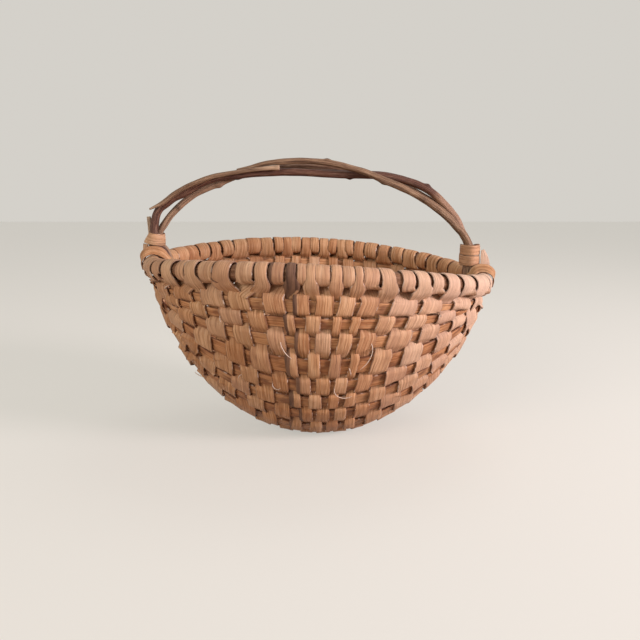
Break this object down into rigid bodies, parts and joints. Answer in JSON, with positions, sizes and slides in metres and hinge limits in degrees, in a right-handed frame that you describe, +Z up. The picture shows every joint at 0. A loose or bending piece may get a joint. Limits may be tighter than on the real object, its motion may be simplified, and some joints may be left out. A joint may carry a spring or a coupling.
{
  "type": "splint basket",
  "caption": "Oval ribbed splint basket with a rim wrapped by the weavers and a fixed arched handle of bound twigs.",
  "frame": {"origin": "on the surface that the basket stands on, under the middle of its box", "axes": "+Z up, X along the long way of the rim from one handle junction to the other, -Y towards the front"},
  "size_m": [0.3034, 0.2442, 0.236],
  "materials": {
    "splint": "dry split wood with a fine lengthwise grain, tan, with a few strips of dark bark",
    "rib_splint": "dry split wood with a fine lengthwise grain, orange brown",
    "rod": "peeled rod, red brown, satin",
    "dark_twig": "twig with dark red brown bark, satin",
    "tan_twig": "twig with tan bark and knots, matt",
    "brown_twig": "twig with brown bark, matt",
    "pale_twig": "thin twig with its bark off, pale, matt"
  },
  "bodies": {
    "root": {"rim_rod": "rod", "rib_front_1": "rib_splint", "rib_front_2": "rib_splint", "rib_front_3": "rib_splint", "rib_front_4": "rib_splint", "rib_front_5": "rib_splint", "rib_front_6": "rib_splint", "rib_front_7": "rib_splint", "rib_front_8": "rib_splint", "rib_front_9": "rib_splint", "rib_keel": "rib_splint", "rib_back_9": "rib_splint", "rib_back_8": "rib_splint", "rib_back_7": "rib_splint", "rib_back_6": "rib_splint", "rib_back_5": "rib_splint", "rib_back_4": "rib_splint", "rib_back_3": "rib_splint", "rib_back_2": "rib_splint", "rib_back_1": "rib_splint", "weaver_01": "splint", "weaver_02": "splint", "weaver_03": "splint", "weaver_04": "splint", "weaver_05": "splint", "weaver_06": "splint", "weaver_07": "splint", "weaver_08": "splint", "weaver_09": "splint", "weaver_10": "splint", "weaver_11": "splint", "weaver_12": "splint", "weaver_13": "splint", "weaver_14": "splint", "twig_dark": "dark_twig", "twig_tan": "tan_twig", "twig_light": "brown_twig", "twig_thin": "tan_twig", "twig_stub": "pale_twig", "collar_left": "splint", "collar_right": "splint", "lashing_left": "splint", "lashing_right": "splint", "tie_left": "splint", "tie_right": "splint", "tail_left": "splint", "tail_right": "splint"}
  },
  "joints": []
}
